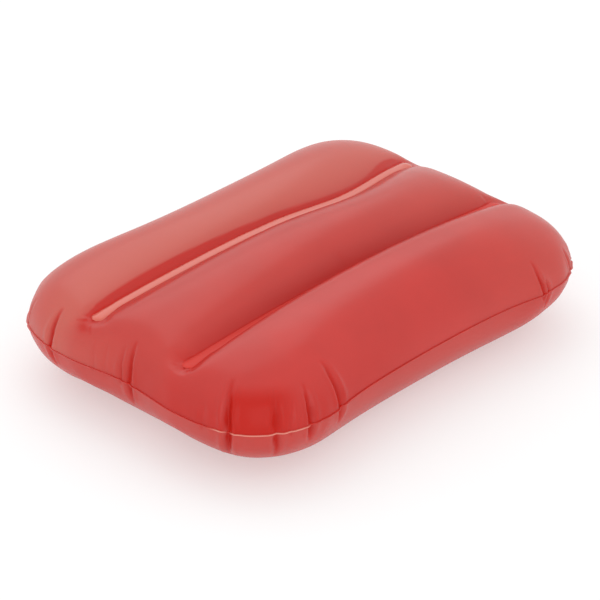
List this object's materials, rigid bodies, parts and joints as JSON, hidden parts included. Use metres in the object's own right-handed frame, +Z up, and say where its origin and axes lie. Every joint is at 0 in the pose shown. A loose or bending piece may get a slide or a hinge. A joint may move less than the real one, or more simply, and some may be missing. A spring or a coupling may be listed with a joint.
{
  "type": "inflatable camp pillow",
  "caption": "Flat inflatable pillow of soft film with lengthwise chambers and a push-in air valve with a strapped plug.",
  "frame": {"origin": "on the ground, under the middle of the pillow", "axes": "+X along the pillow's length towards the valve, +Y towards its rear long side, +Z up"},
  "size_m": [0.4308, 0.3222, 0.1135],
  "materials": {
    "film": "satin, slightly translucent soft PVC",
    "web": "satin, slightly translucent soft PVC",
    "weld": "glossy where the films are fused",
    "valve": "satin moulded soft PVC"
  },
  "bodies": {
    "pillow": {"top_panel": "film", "bottom_panel": "film", "perimeter_weld": "weld", "rear_web": "web", "rear_web_flanges": "weld", "front_web": "web", "front_web_flanges": "weld", "valve_flange": "valve", "valve_diaphragm": "valve"},
    "stem": {"valve_stem": "valve", "valve_tether": "valve"},
    "plug": {"valve_plug": "valve"},
    "flap": {"valve_flap": "valve"}
  },
  "joints": [
    {"name": "valve_pop", "type": "slide", "parent": "pillow", "child": "stem", "axis": [0.788, 0, -0.6157], "range_m": [0, 0.011], "deforming": ["valve_diaphragm"]},
    {"name": "plug_pull", "type": "slide", "parent": "stem", "child": "plug", "axis": [0.788, 0, -0.6157], "range_m": [0, 0.01], "deforming": ["valve_tether"]},
    {"name": "check_flap", "type": "hinge", "parent": "stem", "child": "flap", "pos_m": [0.1887, 0, 0.03858], "axis": [0, 1, 0], "range_deg": [0, 60], "stiffness_Nm_per_rad": 0.0002}
  ]
}
